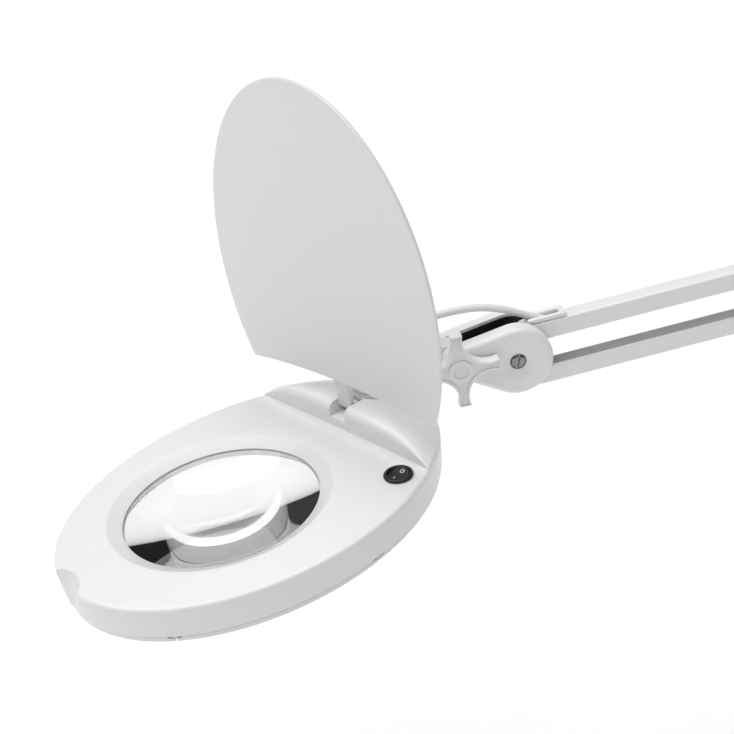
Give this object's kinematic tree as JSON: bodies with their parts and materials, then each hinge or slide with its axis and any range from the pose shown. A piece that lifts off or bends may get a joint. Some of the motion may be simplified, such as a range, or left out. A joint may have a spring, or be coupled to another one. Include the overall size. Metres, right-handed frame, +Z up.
{
  "type": "illuminated magnifier lamp",
  "caption": "Oval illuminated magnifier head with flip-up lens cover on a spring-balanced parallel arm with table clamp.",
  "frame": {"origin": "on the table top, under the clamp's upper jaw, on the axis that the whole arm swivels on", "axes": "+Z up, -X from the clamp towards the head, the arm in the X-Z plane at rest"},
  "size_m": [0.7229, 0.2458, 0.7536],
  "materials": {
    "white_plastic": "fine satin",
    "arm_metal": "satin powder coat",
    "steel": "zinc plated",
    "chromed": "bright",
    "spring_steel": "drawn wire",
    "pad_rubber": "matt",
    "lens_glass": "polished",
    "frosted_plastic": "frosted",
    "led_board": "solder mask",
    "circuit_board": "solder mask",
    "switch_black": "semi-gloss",
    "lead_white": "soft sheath"
  },
  "bodies": {
    "clamp": {"clamp_body": "arm_metal"},
    "pad": {"clamp_pad": "pad_rubber"},
    "screw": {"clamp_screw": "steel", "clamp_handle": "steel"},
    "base": {"base_bracket": "arm_metal", "swivel_post": "steel", "base_pin_front": "steel", "base_pin_back": "steel", "lead_base": "lead_white", "power_inlet": "switch_black"},
    "rear_bar_a": {"rear_bar_front": "arm_metal", "lead_rear": "lead_white"},
    "rear_bar_b": {"rear_bar_back": "arm_metal", "rear_spring": "spring_steel", "rear_spring_pin_foot": "steel", "rear_spring_pin_bar": "steel"},
    "elbow": {"elbow_plate_near": "arm_metal", "elbow_plate_far": "arm_metal", "elbow_pin_rear_front": "steel", "elbow_pin_rear_back": "steel", "elbow_pin_lower": "steel", "elbow_pin_upper": "steel", "lead_elbow": "lead_white"},
    "upper_bar": {"front_bar_upper": "arm_metal", "lead_clip": "white_plastic", "lead_front": "lead_white"},
    "lower_bar": {"front_bar_lower": "arm_metal", "front_spring": "spring_steel", "front_spring_pin_bar": "steel", "front_spring_pin_elbow": "steel"},
    "arm_end": {"front_bracket": "steel", "front_pin_upper": "steel", "front_pin_lower": "steel"},
    "joint_housing": {"cheek_near": "white_plastic", "cheek_far": "white_plastic", "friction_liner_near": "switch_black", "friction_liner_far": "switch_black", "centre_screw": "chromed", "centre_nut": "steel", "tilt_bolt": "steel", "lead_head": "lead_white"},
    "knob": {"star_knob": "white_plastic"},
    "neck": {"neck_bracket": "white_plastic", "swivel_washer": "steel", "swivel_nut": "steel"},
    "head": {"head_housing": "white_plastic", "lower_housing": "white_plastic", "lens": "lens_glass", "lens_ring": "white_plastic", "led_board": "led_board", "light_diffuser": "frosted_plastic", "driver_board": "circuit_board", "housing_screw_1": "steel", "housing_screw_2": "steel", "housing_screw_3": "steel", "housing_screw_4": "steel", "switch_body": "switch_black", "cover_hinge_pin": "steel"},
    "rocker": {"switch_rocker": "switch_black"},
    "cover": {"lens_cover": "white_plastic"}
  },
  "joints": [
    {"name": "clamp_travel", "type": "slide", "parent": "clamp", "child": "pad", "axis": [0, 0, 1], "range_m": [-0.018, 0.026]},
    {"name": "clamp_screw_turn", "type": "hinge", "parent": "pad", "child": "screw", "pos_m": [0, 0, -0.06], "axis": [0, 0, 1], "range_deg": [-3240, 4680]},
    {"name": "base_swivel", "type": "hinge", "parent": "clamp", "child": "base", "pos_m": [0, 0, 0.046], "axis": [0, 0, 1], "range_deg": [-175, 175]},
    {"name": "rear_arm", "type": "hinge", "parent": "base", "child": "rear_bar_a", "pos_m": [-0.01725, 0, 0.078], "axis": [0, 1, 0], "range_deg": [-25, 20], "deforming": ["lead_base"]},
    {"name": "rear_bar_b_pivot", "type": "hinge", "parent": "base", "child": "rear_bar_b", "pos_m": [0.01725, 0, 0.078], "axis": [0, 1, 0], "range_deg": [-25, 20]},
    {"name": "elbow_level", "type": "hinge", "parent": "rear_bar_a", "child": "elbow", "pos_m": [0.11956, 0, 0.45388], "axis": [0, 1, 0], "range_deg": [-20, 25]},
    {"name": "front_arm", "type": "hinge", "parent": "elbow", "child": "upper_bar", "pos_m": [0.14201, 0, 0.53538], "axis": [0, 1, 0], "range_deg": [-30, 40], "deforming": ["lead_elbow"]},
    {"name": "lower_bar_pivot", "type": "hinge", "parent": "elbow", "child": "lower_bar", "pos_m": [0.14201, 0, 0.50088], "axis": [0, 1, 0], "range_deg": [-30, 40]},
    {"name": "arm_end_level", "type": "hinge", "parent": "upper_bar", "child": "arm_end", "pos_m": [-0.24774, 0, 0.4454], "axis": [0, 1, 0], "range_deg": [-40, 30]},
    {"name": "cheek_pivot", "type": "hinge", "parent": "arm_end", "child": "joint_housing", "pos_m": [-0.25674, 0, 0.4313], "axis": [0, 1, 0], "range_deg": [-30, 35]},
    {"name": "head_tilt", "type": "hinge", "parent": "joint_housing", "child": "neck", "pos_m": [-0.29834, 0, 0.4313], "axis": [0, 1, 0], "range_deg": [-45, 40], "deforming": ["lead_head"]},
    {"name": "knob_turn", "type": "hinge", "parent": "joint_housing", "child": "knob", "pos_m": [-0.29834, -0.027, 0.4313], "axis": [0, 1, 0], "range_deg": [-180, 180]},
    {"name": "head_swivel", "type": "hinge", "parent": "neck", "child": "head", "pos_m": [-0.34764, 0, 0.3948], "axis": [-0.1564, 0, 0.9877], "range_deg": [-95, 15]},
    {"name": "cover_hinge", "type": "hinge", "parent": "head", "child": "cover", "pos_m": [-0.37066, -0.01502, 0.40452], "axis": [0.5707, -0.8161, 0.0904], "range_deg": [0, 90]},
    {"name": "switch_press", "type": "hinge", "parent": "head", "child": "rocker", "pos_m": [-0.34888, -0.0934, 0.3946], "axis": [0.5707, -0.8161, 0.0904], "range_deg": [-14, 0]}
  ],
  "couplings": [
    {"joint": "clamp_screw_turn", "follows": "clamp_travel", "rad_per_m": 3141.6},
    {"joint": "rear_bar_b_pivot", "follows": "rear_arm", "ratio": 1},
    {"joint": "elbow_level", "follows": "rear_arm", "ratio": -1},
    {"joint": "lower_bar_pivot", "follows": "front_arm", "ratio": 1},
    {"joint": "arm_end_level", "follows": "front_arm", "ratio": -1}
  ]
}
